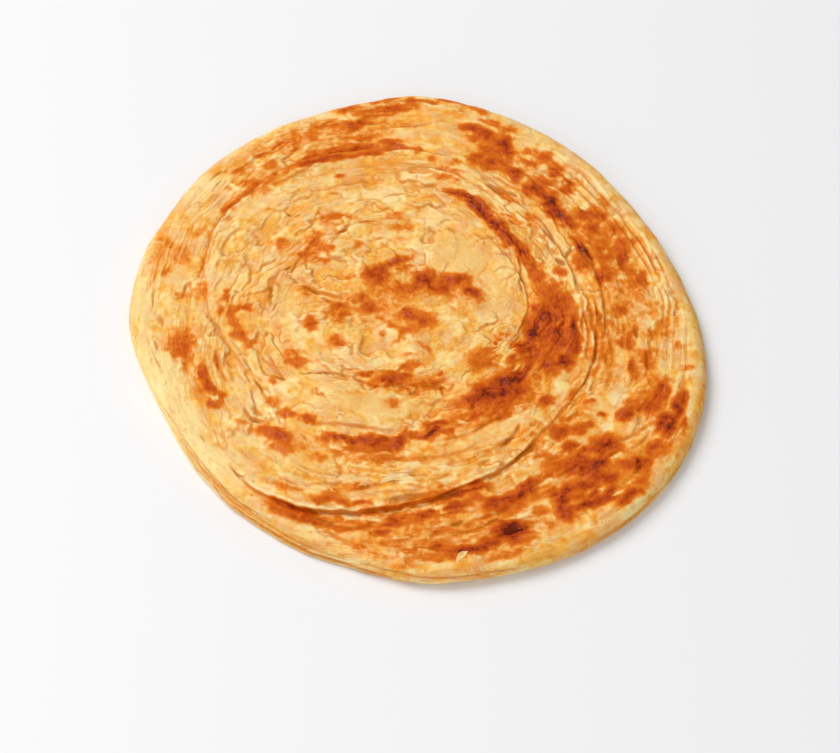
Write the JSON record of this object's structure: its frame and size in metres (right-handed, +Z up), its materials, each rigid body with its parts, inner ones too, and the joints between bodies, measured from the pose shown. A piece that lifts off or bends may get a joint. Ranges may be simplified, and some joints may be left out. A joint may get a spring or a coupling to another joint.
{
  "type": "paratha",
  "caption": "Round pan-fried flaky flatbread, wound from a thin coil of dough and rolled flat, with lapping layers on top and a flat underside it rests on.",
  "frame": {"origin": "middle of the flat underside, under the middle of the bread's box", "axes": "+Z up through the thin way of the bread; the exposed step of the coil faces -Y, which is the front"},
  "size_m": [0.1902, 0.1949, 0.0095],
  "materials": {
    "toasted_dough": "satin"
  },
  "bodies": {
    "root": {"paratha": "toasted_dough"}
  },
  "joints": []
}
